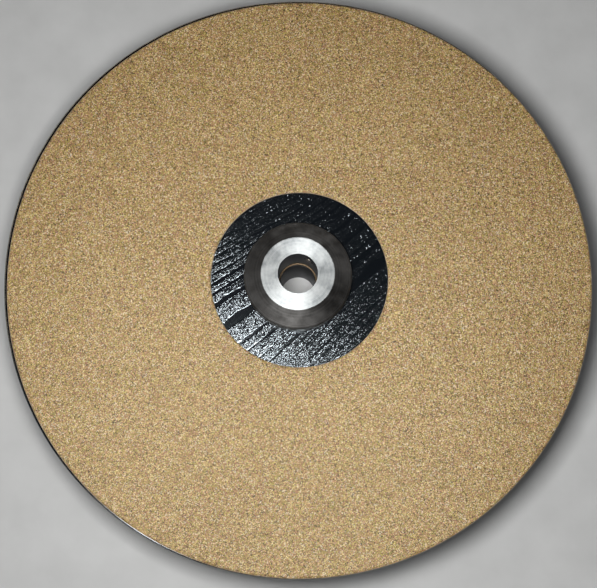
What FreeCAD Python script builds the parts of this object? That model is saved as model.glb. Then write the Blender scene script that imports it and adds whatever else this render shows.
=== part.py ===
import FreeCAD, Part

import math
import os

# A round black plywood board with an abrasive paper ring stuck to its face, held
# by a turned steel hub that fits over a 14 mm machine spindle.
# Frame: millimetres, the spindle axis is Z, the abrasive faces +Z, and z = 0 is
# the flat rear end of the hub, on which the disc also stands.

# ---------------------------------------------------------------- driving sizes

BOARD_DIAMETER = 230.0
BOARD_HOLE_DIAMETER = 28.4
BOARD_CORNER_CHAMFER = 0.3
FACE_VENEER = 2.2
INNER_PLY = 2.72
INNER_PLY_COUNT = 5
BOARD_THICKNESS = 2 * FACE_VENEER + INNER_PLY_COUNT * INNER_PLY

PAPER_DIAMETER = 228.6
PAPER_HOLE_DIAMETER = 69.4
PAPER_SHIFT_X = 0.6
PAPER_SHIFT_Y = -0.35
ADHESIVE = 0.15
BACKING = 0.4
GRAIN = 0.45

HEAD_DIAMETER = 41.8
HEAD_SIDE_HEIGHT = 6.2
HEAD_UNDERCUT = 0.35
CONE_HEIGHT = 3.9
NOSE_DIAMETER = 28.3
NOSE_EDGE_CHAMFER = 0.25
BARREL_DIAMETER = 28.0
BARREL_BELOW_BOARD = 18.6
BARREL_END_CHAMFER = 1.0
BARREL_THREAD_DIAMETER = 27.6
BARREL_THREAD_DEPTH = 0.55
BARREL_THREAD_START = 0.4

FRONT_BORE_DIAMETER = 15.3
FRONT_BORE_DEPTH = 18.8
SLEEVE_SEAT_DIAMETER = 19.0
STOP_RING_THICKNESS = 1.2
SPINDLE_DIAMETER = 14.0
SPINDLE_PLAY = 0.1
SLEEVE_BORE = SPINDLE_DIAMETER + SPINDLE_PLAY
SLEEVE_CHAMFER = 0.6

FLANGE_DIAMETER = 80.0
FLANGE_THICKNESS = 4.0
FLANGE_BORE = 28.3
FLANGE_EDGE_CHAMFER = 0.6

FLANGE_SCREW_COUNT = 4
FLANGE_SCREW_CIRCLE = 62.0
FLANGE_SCREW_FIRST_ANGLE = 45.0
SCREW_HEAD_DIAMETER = 8.0
SCREW_SHANK_DIAMETER = 4.0
SCREW_CORE_DIAMETER = 2.8
SCREW_THREAD_PITCH = 1.8
SCREW_THREAD_TURNS = 5
SCREW_PLAIN_IN_BOARD = 1.0
SCREW_ROOT_START = 0.2
SCREW_ROOT_SHARE = 0.55
SCREW_HEAD_HEIGHT = 2.3
SCREW_LENGTH = 16.0
SCREW_HOLE_PLAY = 0.15
CROSS_SLOT_WIDTH = 0.9
CROSS_SLOT_LENGTH = 4.2
CROSS_SLOT_DEPTH = 1.4

KEYWAY_WIDTH = 5.0
KEYWAY_DEPTH = 1.8
TAB_WASHER_DIAMETER = 46.0
TAB_WASHER_THICKNESS = 2.0
TAB_WASHER_BORE = 28.15
TAB_PLAY = 0.15
TAB_OVERLAP = 0.5
TAB_WASHER_EAR_COUNT = 5
TAB_WASHER_EAR_WIDTH = 5.0
TAB_WASHER_EAR_LENGTH = 3.0
TAB_WASHER_EAR_OVERLAP = 1.0

NUT_ACROSS_FLATS = 41.0
NUT_HEIGHT = 8.0
NUT_BORE = 28.12
NUT_CORNER_CHAMFER = 1.2
NUT_MOUTH_CHAMFER = 0.6
THREAD_PITCH = 1.5
THREAD_RELIEF = 0.2

# Where a thread's flanks begin and end, as shares of its pitch.
THREAD_ROOT_END = 0.1
THREAD_CREST_START = 0.45
THREAD_CREST_END = 0.6
THREAD_ROOT_START = 0.95

DRIVE_PIN_COUNT = 2
DRIVE_PIN_DIAMETER = 4.0
DRIVE_PIN_RADIUS = 17.5
DRIVE_PIN_IN_HEAD = 3.0
DRIVE_PIN_IN_BOARD = 9.0
DRIVE_PIN_PLAY = 0.04

GRUB_ANGLE = 59.0
GRUB_HEIGHT_ABOVE_BOARD = 3.3
GRUB_HOLE_DIAMETER = 4.12
GRUB_DIAMETER = 4.0
GRUB_THREAD_PITCH = 0.7
GRUB_THREAD_DEPTH = 0.35
GRUB_SOCKET_FLATS = 2.0
GRUB_SOCKET_DEPTH = 2.2
GRUB_RECESS = 0.8
GRUB_TIP_DIAMETER = 2.6
GRUB_TIP_PROUD = 0.9
GRUB_TIP_STEM_DIAMETER = 1.4
GRUB_TIP_STEM_LENGTH = 1.6
GRUB_TIP_STEM_PLAY = 0.05
GRUB_TIP_OVERLAP = 0.1
GRUB_TIP_START = 7.25

# ---------------------------------------------------------------- derived levels

BOARD_REAR = BARREL_BELOW_BOARD
BOARD_FRONT = BOARD_REAR + BOARD_THICKNESS
PAPER_LEVEL = BOARD_FRONT + ADHESIVE
GRAIN_LEVEL = PAPER_LEVEL + BACKING
ABRASIVE_FACE = GRAIN_LEVEL + GRAIN
HEAD_RIM = BOARD_FRONT + HEAD_SIDE_HEIGHT
NOSE_LEVEL = HEAD_RIM + CONE_HEIGHT
SEAT_SHOULDER = NOSE_LEVEL - FRONT_BORE_DEPTH
SLEEVE_TOP = SEAT_SHOULDER - STOP_RING_THICKNESS
FLANGE_REAR = BOARD_REAR - FLANGE_THICKNESS
WASHER_REAR = FLANGE_REAR - TAB_WASHER_THICKNESS
NUT_REAR = WASHER_REAR - NUT_HEIGHT
GRUB_LEVEL = BOARD_FRONT + GRUB_HEIGHT_ABOVE_BOARD

Z_AXIS = FreeCAD.Vector(0, 0, 1)
ORIGIN = FreeCAD.Vector(0, 0, 0)
CUT_MARGIN = 1.0
LEVEL_TOLERANCE = 0.01


# ---------------------------------------------------------------- shape helpers

def turned(profile):
    """Solid of revolution about Z from (radius, z) points."""
    points = [FreeCAD.Vector(radius, 0, z) for radius, z in profile]
    points.append(points[0])
    face = Part.Face(Part.makePolygon(points))
    return face.revolve(ORIGIN, Z_AXIS, 360)


def disc(diameter, bottom, top, x=0.0, y=0.0):
    """Plain cylinder between two levels."""
    centre = FreeCAD.Vector(x, y, bottom)
    return Part.makeCylinder(diameter / 2, top - bottom, centre, Z_AXIS)


def washer(outer, inner, bottom, top, x=0.0, y=0.0):
    """Flat ring between two levels."""
    ring = disc(outer, bottom, top, x, y)
    hole = disc(inner, bottom - CUT_MARGIN, top + CUT_MARGIN, x, y)
    return ring.cut(hole)


def hexagon(across_flats, bottom, top):
    """Hexagonal prism about Z."""
    corner_radius = across_flats / math.sqrt(3)
    corners = []
    for index in range(6):
        angle = math.radians(60 * index)
        corner = FreeCAD.Vector(
            corner_radius * math.cos(angle),
            corner_radius * math.sin(angle),
            bottom,
        )
        corners.append(corner)
    corners.append(corners[0])
    face = Part.Face(Part.makePolygon(corners))
    return face.extrude(FreeCAD.Vector(0, 0, top - bottom))


def around(shape, angle):
    """Copy of a shape turned about Z by an angle in degrees."""
    copy = shape.copy()
    copy.rotate(ORIGIN, Z_AXIS, angle)
    return copy


def laid_radially(shape, level, angle):
    """Turn a shape built along Z so that its +Z runs out along a radius."""
    copy = shape.copy()
    copy.rotate(ORIGIN, FreeCAD.Vector(0, 1, 0), 90)
    copy.rotate(ORIGIN, Z_AXIS, angle)
    copy.translate(FreeCAD.Vector(0, 0, level))
    return copy


# ---------------------------------------------------------------- abrasive sheet

def paper_ring(bottom, top):
    """One layer of the stuck-on sheet, which sits slightly off the axis."""
    return washer(
        PAPER_DIAMETER, PAPER_HOLE_DIAMETER, bottom, top, PAPER_SHIFT_X, PAPER_SHIFT_Y
    )


def adhesive_film():
    return paper_ring(BOARD_FRONT, PAPER_LEVEL)


def backing_paper():
    return paper_ring(PAPER_LEVEL, GRAIN_LEVEL)


def abrasive_grain():
    return paper_ring(GRAIN_LEVEL, ABRASIVE_FACE)


# ---------------------------------------------------------------- plywood board

def drive_pin_angles():
    """The pins stand square to the grub screw, clear of its hole."""
    step = 360 / DRIVE_PIN_COUNT
    return [GRUB_ANGLE + 90 + step * index for index in range(DRIVE_PIN_COUNT)]


def drive_pin_cutter(play):
    """Both drive pins, or their holes when play is added."""
    pin = disc(
        DRIVE_PIN_DIAMETER + play,
        BOARD_FRONT - DRIVE_PIN_IN_BOARD,
        BOARD_FRONT + DRIVE_PIN_IN_HEAD,
        x=DRIVE_PIN_RADIUS,
    )
    return Part.makeCompound([around(pin, angle) for angle in drive_pin_angles()])


def flange_screw_angles():
    step = 360 / FLANGE_SCREW_COUNT
    return [FLANGE_SCREW_FIRST_ANGLE + step * index for index in range(FLANGE_SCREW_COUNT)]


def screw_hole_cutter():
    """Pilot holes in the board, drilled from the rear to fit the screw threads."""
    hole = disc(
        SCREW_SHANK_DIAMETER + SCREW_HOLE_PLAY,
        FLANGE_REAR,
        FLANGE_REAR + SCREW_LENGTH + CUT_MARGIN / 2,
        x=FLANGE_SCREW_CIRCLE / 2,
    )
    return Part.makeCompound([around(hole, angle) for angle in flange_screw_angles()])


def ply(bottom, top):
    """One layer of wood, drilled for the hub, the drive pins and the screws."""
    layer = washer(BOARD_DIAMETER, BOARD_HOLE_DIAMETER, bottom, top)
    layer = layer.cut(drive_pin_cutter(DRIVE_PIN_PLAY))
    return layer.cut(screw_hole_cutter())


def broken_corner(layer, level):
    """Take the sharp outer corner off a face veneer at the given level."""
    rim = []
    for edge in layer.Edges:
        box = edge.BoundBox
        at_level = abs(box.ZMin - level) < LEVEL_TOLERANCE
        is_flat = box.ZLength < LEVEL_TOLERANCE
        at_rim = box.XLength > BOARD_DIAMETER - CUT_MARGIN
        if at_level and is_flat and at_rim:
            rim.append(edge)
    return layer.makeChamfer(BOARD_CORNER_CHAMFER, rim)


def board_plies():
    """Seven layers from rear to front, by node name."""
    names = [
        "rear_crossband",
        "rear_core_ply",
        "middle_ply",
        "front_core_ply",
        "front_crossband",
    ]
    inner_bottom = BOARD_REAR + FACE_VENEER
    inner_top = BOARD_FRONT - FACE_VENEER
    plies = {
        "rear_face_veneer": broken_corner(ply(BOARD_REAR, inner_bottom), BOARD_REAR),
        "front_face_veneer": broken_corner(ply(inner_top, BOARD_FRONT), BOARD_FRONT),
    }
    for index, name in enumerate(names):
        bottom = inner_bottom + index * INNER_PLY
        plies[name] = ply(bottom, bottom + INNER_PLY)
    return plies


# ---------------------------------------------------------------- hub

def thread_profile(crest, root, pitch, bottom, top):
    """Ring-grooved thread outline from bottom to top, as (radius, z) points."""
    points = []
    turns = int((top - bottom) / pitch)
    for index in range(turns):
        z = bottom + index * pitch
        points.append((root, z + THREAD_ROOT_END * pitch))
        points.append((crest, z + THREAD_CREST_START * pitch))
        points.append((crest, z + THREAD_CREST_END * pitch))
        points.append((root, z + THREAD_ROOT_START * pitch))
    return points


def grub_hole():
    """Radial hole from the bore out through the side of the hub's head."""
    hole = Part.makeCylinder(GRUB_HOLE_DIAMETER / 2, HEAD_DIAMETER)
    return laid_radially(hole, GRUB_LEVEL, GRUB_ANGLE)


def keyway():
    """Slot along the rear of the barrel for the tab washer."""
    length = FLANGE_REAR + CUT_MARGIN
    slot = Part.makeBox(
        KEYWAY_DEPTH + CUT_MARGIN,
        KEYWAY_WIDTH,
        length,
        FreeCAD.Vector(BARREL_DIAMETER / 2 - KEYWAY_DEPTH, -KEYWAY_WIDTH / 2, -CUT_MARGIN),
    )
    return around(slot, -90)


def hub_body():
    """Turned steel hub: cone nose, head, barrel with a thread, stepped bore."""
    head = HEAD_DIAMETER / 2
    nose = NOSE_DIAMETER / 2
    barrel = BARREL_DIAMETER / 2
    crest = BARREL_THREAD_DIAMETER / 2
    root = crest - BARREL_THREAD_DEPTH
    seat = SLEEVE_SEAT_DIAMETER / 2
    bore = FRONT_BORE_DIAMETER / 2
    profile = [(seat, 0.0), (root - BARREL_END_CHAMFER / 2, 0.0)]
    profile += thread_profile(crest, root, THREAD_PITCH, BARREL_THREAD_START, FLANGE_REAR)
    profile += [
        (barrel, FLANGE_REAR + THREAD_RELIEF),
        (barrel, BOARD_FRONT + HEAD_UNDERCUT),
        (head - 2 * HEAD_UNDERCUT, BOARD_FRONT),
        (head - HEAD_UNDERCUT, BOARD_FRONT),
        (head, BOARD_FRONT + HEAD_UNDERCUT),
        (head, HEAD_RIM),
        (nose + NOSE_EDGE_CHAMFER, NOSE_LEVEL - NOSE_EDGE_CHAMFER / 2),
        (nose, NOSE_LEVEL),
        (bore, NOSE_LEVEL),
        (bore, SEAT_SHOULDER),
        (seat, SEAT_SHOULDER),
    ]
    body = turned(profile)
    body = body.cut(drive_pin_cutter(DRIVE_PIN_PLAY))
    body = body.cut(keyway())
    return body.cut(grub_hole())


def bore_stop_ring():
    """Bronze ring against the shoulder inside the bore, reamed with the sleeve."""
    return washer(SLEEVE_SEAT_DIAMETER, SLEEVE_BORE, SLEEVE_TOP, SEAT_SHOULDER)


def spindle_sleeve():
    """Hard steel sleeve pressed in from the rear, bored for the spindle."""
    outer = SLEEVE_SEAT_DIAMETER / 2
    inner = SLEEVE_BORE / 2
    profile = [
        (outer, SLEEVE_TOP),
        (outer, SLEEVE_CHAMFER / 2),
        (outer - SLEEVE_CHAMFER / 2, 0.0),
        (inner + SLEEVE_CHAMFER, 0.0),
        (inner, SLEEVE_CHAMFER),
        (inner, SLEEVE_TOP),
    ]
    return turned(profile)


def drive_pins():
    """Two steel pins that carry the turning load from the head into the board."""
    return drive_pin_cutter(0.0)


def grub_tip():
    """Soft brass tip that touches the spindle, with a stem into the screw."""
    head = Part.makeCylinder(
        GRUB_TIP_DIAMETER / 2, GRUB_TIP_PROUD, FreeCAD.Vector(0, 0, GRUB_TIP_START)
    )
    stem = Part.makeCylinder(
        GRUB_TIP_STEM_DIAMETER / 2,
        GRUB_TIP_STEM_LENGTH + GRUB_TIP_OVERLAP,
        FreeCAD.Vector(0, 0, GRUB_TIP_START + GRUB_TIP_PROUD - GRUB_TIP_OVERLAP),
    )
    return laid_radially(head.fuse(stem).removeSplitter(), GRUB_LEVEL, GRUB_ANGLE)


def grub_screw():
    """Socket set screw in the side of the head, its thread as ring grooves."""
    start = GRUB_TIP_START + GRUB_TIP_PROUD
    end = HEAD_DIAMETER / 2 - GRUB_RECESS
    crest = GRUB_DIAMETER / 2
    root = crest - GRUB_THREAD_DEPTH
    stem_hole = GRUB_TIP_STEM_DIAMETER / 2 + GRUB_TIP_STEM_PLAY
    stem_end = start + GRUB_TIP_STEM_LENGTH + 2 * GRUB_TIP_STEM_PLAY
    profile = [(stem_hole, start), (root, start)]
    profile += thread_profile(crest, root, GRUB_THREAD_PITCH, start, end - THREAD_RELIEF)
    profile += [
        (root, end),
        (0.0, end),
        (0.0, stem_end),
        (stem_hole, stem_end),
    ]
    body = turned(profile)
    socket = hexagon(GRUB_SOCKET_FLATS, end - GRUB_SOCKET_DEPTH, end + CUT_MARGIN)
    return laid_radially(body.cut(socket), GRUB_LEVEL, GRUB_ANGLE)


# ---------------------------------------------------------------- rear clamp

def countersink():
    """Cone that seats a screw head flush with the rear of the flange."""
    cone = Part.makeCone(
        SCREW_HEAD_DIAMETER / 2 + SCREW_HOLE_PLAY,
        SCREW_SHANK_DIAMETER / 2 + SCREW_HOLE_PLAY,
        SCREW_HEAD_HEIGHT,
        FreeCAD.Vector(FLANGE_SCREW_CIRCLE / 2, 0, FLANGE_REAR),
        Z_AXIS,
    )
    shank = disc(
        SCREW_SHANK_DIAMETER + 2 * SCREW_HOLE_PLAY,
        FLANGE_REAR,
        BOARD_REAR + CUT_MARGIN,
        x=FLANGE_SCREW_CIRCLE / 2,
    )
    return cone.fuse(shank)


def rear_flange():
    """Steel plate that spreads the nut's load over the back of the board."""
    outer = FLANGE_DIAMETER / 2
    inner = FLANGE_BORE / 2
    profile = [
        (inner, FLANGE_REAR),
        (outer - FLANGE_EDGE_CHAMFER, FLANGE_REAR),
        (outer, FLANGE_REAR + FLANGE_EDGE_CHAMFER),
        (outer, BOARD_REAR),
        (inner, BOARD_REAR),
    ]
    plate = turned(profile)
    for angle in flange_screw_angles():
        plate = plate.cut(around(countersink(), angle))
    return plate


def flange_screw():
    """One countersunk cross-slot wood screw, head at the rear."""
    head = SCREW_HEAD_DIAMETER / 2
    shank = SCREW_SHANK_DIAMETER / 2
    core = SCREW_CORE_DIAMETER / 2
    thread_start = BOARD_REAR + SCREW_PLAIN_IN_BOARD
    tip = FLANGE_REAR + SCREW_LENGTH
    profile = [
        (0.0, FLANGE_REAR),
        (head, FLANGE_REAR),
        (shank, FLANGE_REAR + SCREW_HEAD_HEIGHT),
        (shank, thread_start),
    ]
    for turn in range(SCREW_THREAD_TURNS):
        z = thread_start + turn * SCREW_THREAD_PITCH
        profile.append((core, z + SCREW_ROOT_START))
        profile.append((core, z + SCREW_ROOT_SHARE * SCREW_THREAD_PITCH))
        profile.append((shank, z + SCREW_THREAD_PITCH))
    profile.append((0.0, tip))
    screw = turned(profile)
    for angle in (0, 90):
        slot = Part.makeBox(
            CROSS_SLOT_LENGTH,
            CROSS_SLOT_WIDTH,
            CROSS_SLOT_DEPTH + CUT_MARGIN,
            FreeCAD.Vector(
                -CROSS_SLOT_LENGTH / 2, -CROSS_SLOT_WIDTH / 2, FLANGE_REAR - CUT_MARGIN
            ),
        )
        screw = screw.cut(around(slot, angle))
    screw.translate(FreeCAD.Vector(FLANGE_SCREW_CIRCLE / 2, 0, 0))
    return screw


def flange_screws():
    return Part.makeCompound([around(flange_screw(), angle) for angle in flange_screw_angles()])


def tab_washer():
    """Lock washer with an inner tab in the keyway and ears round its edge."""
    ring = washer(TAB_WASHER_DIAMETER, TAB_WASHER_BORE, WASHER_REAR, FLANGE_REAR)
    tab = Part.makeBox(
        KEYWAY_DEPTH,
        KEYWAY_WIDTH - 2 * TAB_PLAY,
        TAB_WASHER_THICKNESS,
        FreeCAD.Vector(
            BARREL_DIAMETER / 2 - KEYWAY_DEPTH + TAB_PLAY + TAB_OVERLAP,
            -KEYWAY_WIDTH / 2 + TAB_PLAY,
            WASHER_REAR,
        ),
    )
    ring = ring.fuse(around(tab, -90))
    for index in range(TAB_WASHER_EAR_COUNT):
        ear = Part.makeBox(
            TAB_WASHER_EAR_LENGTH + TAB_WASHER_EAR_OVERLAP,
            TAB_WASHER_EAR_WIDTH,
            TAB_WASHER_THICKNESS,
            FreeCAD.Vector(
                TAB_WASHER_DIAMETER / 2 - TAB_WASHER_EAR_OVERLAP,
                -TAB_WASHER_EAR_WIDTH / 2,
                WASHER_REAR,
            ),
        )
        ring = ring.fuse(around(ear, 360 * index / TAB_WASHER_EAR_COUNT + 90))
    return ring.removeSplitter()


def clamp_nut():
    """Hexagon nut with chamfered corners on the barrel's thread."""
    bottom = NUT_REAR
    top = WASHER_REAR
    corner = NUT_ACROSS_FLATS / math.sqrt(3)
    envelope = turned([
        (0.0, bottom),
        (NUT_ACROSS_FLATS / 2, bottom),
        (corner, bottom + NUT_CORNER_CHAMFER),
        (corner, top - NUT_CORNER_CHAMFER),
        (NUT_ACROSS_FLATS / 2, top),
        (0.0, top),
    ])
    bore = NUT_BORE / 2
    mouth = NUT_MOUTH_CHAMFER
    drilled = turned([
        (0.0, bottom - CUT_MARGIN),
        (bore + mouth + CUT_MARGIN, bottom - CUT_MARGIN),
        (bore, bottom + mouth),
        (bore, top - mouth),
        (bore + mouth + CUT_MARGIN, top + CUT_MARGIN),
        (0.0, top + CUT_MARGIN),
    ])
    return hexagon(NUT_ACROSS_FLATS, bottom, top).common(envelope).cut(drilled)


# ---------------------------------------------------------------- write the parts

def all_parts():
    parts = {
        "abrasive_grain": abrasive_grain(),
        "backing_paper": backing_paper(),
        "adhesive_film": adhesive_film(),
        "hub_body": hub_body(),
        "bore_stop_ring": bore_stop_ring(),
        "spindle_sleeve": spindle_sleeve(),
        "drive_pins": drive_pins(),
        "grub_screw": grub_screw(),
        "grub_screw_tip": grub_tip(),
        "rear_flange": rear_flange(),
        "flange_screws": flange_screws(),
        "tab_washer": tab_washer(),
        "clamp_nut": clamp_nut(),
    }
    parts.update(board_plies())
    return parts


def main():
    os.makedirs("parts", exist_ok=True)
    for name, shape in sorted(all_parts().items()):
        shape.exportStep("parts/" + name + ".step")
        print(name, "valid", shape.isValid(), "solids", len(shape.Solids),
              "volume %.1f" % shape.Volume)


main()
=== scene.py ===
"""Looks of a round abrasive disc: plywood board, paper ring and steel hub.

Everything is in metres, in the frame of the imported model: the spindle axis is Z
and the disc stands on z = 0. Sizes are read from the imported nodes' boxes.
"""
import math

import bmesh
import bpy
import numpy as np
from mathutils import Matrix, Vector


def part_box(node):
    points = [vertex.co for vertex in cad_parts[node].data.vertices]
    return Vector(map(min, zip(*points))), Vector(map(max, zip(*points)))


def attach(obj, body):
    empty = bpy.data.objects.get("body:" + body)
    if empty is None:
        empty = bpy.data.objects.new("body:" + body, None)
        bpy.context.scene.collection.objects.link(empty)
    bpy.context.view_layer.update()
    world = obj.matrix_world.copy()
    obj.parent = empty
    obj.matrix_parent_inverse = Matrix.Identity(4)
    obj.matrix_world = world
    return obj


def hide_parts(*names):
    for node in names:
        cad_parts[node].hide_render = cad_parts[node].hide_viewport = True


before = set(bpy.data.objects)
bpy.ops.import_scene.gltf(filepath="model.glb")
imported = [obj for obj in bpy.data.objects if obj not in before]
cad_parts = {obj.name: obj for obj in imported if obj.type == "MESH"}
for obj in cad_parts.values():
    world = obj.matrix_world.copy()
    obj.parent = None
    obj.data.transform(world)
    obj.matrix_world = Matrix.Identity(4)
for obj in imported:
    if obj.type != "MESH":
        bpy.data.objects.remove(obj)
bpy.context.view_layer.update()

MM = 0.001
TURN = 2 * math.pi
ROTOR = "rotor"

# Points round a circle, from plain rings to the front veneer's fine relief.
TIP_STEPS = 96
RING_STEPS = 360
HUB_STEPS = 480
EDGE_STEPS = 720
SHEET_STEPS = 900
VENEER_STEPS = 1080

# Board and paper.
BOARD_RADIUS = 115.0 * MM
BOARD_HOLE_RADIUS = 14.2 * MM
PAPER_HOLE_RADIUS = 34.7 * MM
INNER_PLIES = (
    "rear_crossband", "rear_core_ply", "middle_ply", "front_core_ply", "front_crossband",
)
GRAIN_DIRECTION = math.radians(40)
# Side of the rim whose front corner is painted pale: worn paint, and a painted highlight on that
# side.
WEAR_AND_HIGHLIGHT_SIDE = math.radians(132)
PLY_INSETS = (0.03, 0.08, 0.05, 0.09, 0.04, 0.08, 0.03)
VENEER_CORNER = 0.45 * MM

# Relief of the grain coat and of the wood's grain: its depth, and rows of points.
GRAIN_ROWS = 150
GRAIN_DEPTH = 0.22 * MM
GRAIN_SHUFFLE = 0.16 * MM
FRONT_RELIEF = 0.06 * MM
FRONT_ROW = 0.16 * MM
REAR_RELIEF = 0.12 * MM
REAR_ROW = 0.55 * MM

# Hub, its bore and its rear thread.
HEAD_SIDE = 6.2 * MM
NOSE_RADIUS = 14.15 * MM
FRONT_BORE_RADIUS = 7.65 * MM
SEAT_RADIUS = 9.5 * MM
SPINDLE_BORE_RADIUS = 7.05 * MM
BARREL_RADIUS = 14.0 * MM
THREAD_ROOT = 13.25 * MM
THREAD_CREST = 13.8 * MM
THREAD_PITCH = 1.5 * MM
THREAD_SLICES = 10
KEYWAY_FLOOR = 12.2 * MM
KEYWAY_HALF = 2.5 * MM
KEYWAY_SIDE = -math.pi / 2
GRUB_HOLE_RADIUS = 2.06 * MM
GRUB_HOLE_MIDDLE = 16 * MM
GRUB_HOLE_LENGTH = 20 * MM

# Nut and lock washer.
NUT_BORE_RADIUS = 14.06 * MM
NUT_CHAMFER = 1.3 * MM
WASHER_RADIUS = 23.0 * MM
WASHER_BORE = 14.075 * MM
WASHER_EARS = 5
EAR_HALF = 2.5 * MM
EAR_REACH = 26.0 * MM
TAB_HALF = 2.3 * MM
TAB_REACH = 12.9 * MM

# Grub screw tip, in millimetres: distance from the spindle axis, and radius.
TIP_PROFILE = (
    (7.25, 0.55), (7.27, 0.90), (7.33, 1.14), (7.45, 1.28), (8.04, 1.30), (8.11, 1.23),
    (8.12, 0.69), (9.60, 0.69), (9.68, 0.58),
)

# Abrasive grains and their clumps, in cells per metre.
GRIT_CELLS = 2900
CLUMP_CELLS = 2300

# Facets of the black paint: cells per metre along and across the wood, and how
# far they lean, as a slope. Stray ones stand apart, leaning every way.
FACETS_ALONG = 2600
FACETS_ACROSS = 12000
LEAN_ALONG = 0.14
LEAN_ACROSS = 0.36
STRAY_CELLS = 3000
STRAY_LEAN = 0.35

# Turns an anisotropic gloss so that it spreads across marks that run round the axis.
ACROSS_THE_MARKS = 0.25

# Lights: name, place, aim, size in metres and power in watts.
SOFT_LIGHTS = (
    ("key", (-0.022, -0.056, 0.367), (0.006, -0.002, 0.03), 0.086, 1.09),
    ("left_fill", (-0.85, -0.10, 0.40), (0, 0, 0.03), 0.6, 0.75),
    ("right_fill", (0.85, 0.25, 0.30), (0, 0, 0.03), 0.6, 0.3),
)
EDGE_LIGHTS = 3
EDGE_LIGHT_DISTANCE = 2.2
EDGE_LIGHT_HEIGHT = 0.85
EDGE_LIGHT_SIZE = 1.4
EDGE_LIGHT_POWER = 2.4
SKY_COLOUR = (0.95, 0.97, 1.0, 1.0)
SKY_STRENGTH = 0.055
FLOOR_HALF = 3.0

# Camera in millimetres, as fitted to the photo's circles.
CAMERA_PLACE = (4.476, -84.817, 492.056)
CAMERA_AIM = (0.562, -6.443, 37.6)
CAMERA_LENS = 71.365
CAMERA_SENSOR = 36.0


# ---------------------------------------------------------------- node helpers

class Nodes:
    """A material's node tree with short calls for the nodes used here."""

    def __init__(self, name):
        self.material = bpy.data.materials.new(name)
        self.material.use_nodes = True
        self.tree = self.material.node_tree
        self.shader = self.tree.nodes["Principled BSDF"]
        self.position = self.add("ShaderNodeTexCoord").outputs["Object"]

    def add(self, kind, **settings):
        node = self.tree.nodes.new(kind)
        for key, value in settings.items():
            setattr(node, key, value)
        return node

    def link(self, source, target):
        self.tree.links.new(source, target)

    def feed(self, node, socket, value):
        """Link a socket to a socket, or set a constant on it."""
        if isinstance(value, bpy.types.NodeSocket):
            self.link(value, node.inputs[socket])
        else:
            node.inputs[socket].default_value = value

    def math(self, operation, first, second=0.0, clamp=False):
        node = self.add("ShaderNodeMath", operation=operation, use_clamp=clamp)
        self.feed(node, 0, first)
        self.feed(node, 1, second)
        return node.outputs[0]

    def split(self, vector):
        node = self.add("ShaderNodeSeparateXYZ")
        self.link(vector, node.inputs[0])
        return node.outputs[0], node.outputs[1], node.outputs[2]

    def join(self, x, y, z):
        node = self.add("ShaderNodeCombineXYZ")
        self.feed(node, 0, x)
        self.feed(node, 1, y)
        self.feed(node, 2, z)
        return node.outputs[0]

    def mapped(self, scale, turn=0.0):
        """Position turned about Z, then stretched; scale is in cells per metre."""
        node = self.add("ShaderNodeMapping", vector_type="POINT")
        self.link(self.position, node.inputs["Vector"])
        node.inputs["Rotation"].default_value = (0, 0, turn)
        node.inputs["Scale"].default_value = scale
        return node.outputs[0]

    def noise(self, vector, detail, roughness=0.5):
        """Smooth noise, one cell to each unit of the vector."""
        node = self.add("ShaderNodeTexNoise")
        self.link(vector, node.inputs["Vector"])
        node.inputs["Scale"].default_value = 1.0
        node.inputs["Detail"].default_value = detail
        node.inputs["Roughness"].default_value = roughness
        return node.outputs[0]

    def cells(self, vector):
        """Voronoi cells, one to each unit of the vector."""
        node = self.add("ShaderNodeTexVoronoi", feature="F1")
        self.link(vector, node.inputs["Vector"])
        node.inputs["Scale"].default_value = 1.0
        return node

    def ramp(self, value, stops):
        """Colour ramp; each stop is (place, grey) or (place, (r, g, b))."""
        node = self.add("ShaderNodeValToRGB")
        node.color_ramp.interpolation = "LINEAR"
        marks = node.color_ramp.elements
        while len(marks) < len(stops):
            marks.new(0.5)
        for mark, (place, colour) in zip(marks, stops):
            mark.position = place
            if not isinstance(colour, tuple):
                colour = (colour, colour, colour)
            mark.color = (*colour, 1.0)
        self.link(value, node.inputs[0])
        return node.outputs[0]

    def mix(self, factor, first, second):
        node = self.add("ShaderNodeMix", data_type="RGBA", blend_type="MIX")
        self.feed(node, 0, factor)
        for socket, value in ((6, first), (7, second)):
            if isinstance(value, tuple):
                value = (*value, 1.0)
            self.feed(node, socket, value)
        return node.outputs[2]

    def range(self, value, low, high, out_low=0.0, out_high=1.0):
        """Straight-line change of one span of values into another, held at its ends."""
        node = self.add("ShaderNodeMapRange")
        self.link(value, node.inputs[0])
        for socket, number in zip((1, 2, 3, 4), (low, high, out_low, out_high)):
            node.inputs[socket].default_value = number
        return node.outputs[0]

    def bump(self, height, distance, strength, under=None):
        """Normal leaned by a height, on top of another normal where one is given."""
        node = self.add("ShaderNodeBump")
        node.inputs["Strength"].default_value = strength
        node.inputs["Distance"].default_value = distance
        self.link(height, node.inputs["Height"])
        if under is not None:
            self.link(under, node.inputs["Normal"])
        return node.outputs[0]

    def radius(self):
        """Distance from the spindle axis."""
        x, y, _ = self.split(self.position)
        squares = self.math("ADD", self.math("MULTIPLY", x, x), self.math("MULTIPLY", y, y))
        return self.math("SQRT", squares)

    def finish(self, colour, roughness, normal=None, metallic=0.0, **constants):
        """Connect the shader; other sockets are named with _ for a space."""
        self.feed(self.shader, "Base Color", colour)
        self.feed(self.shader, "Roughness", roughness)
        if normal is not None:
            self.feed(self.shader, "Normal", normal)
        self.feed(self.shader, "Metallic", metallic)
        for name, value in constants.items():
            self.shader.inputs[name.replace("_", " ")].default_value = value
        return self.material


# ---------------------------------------------------------------- materials

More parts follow.
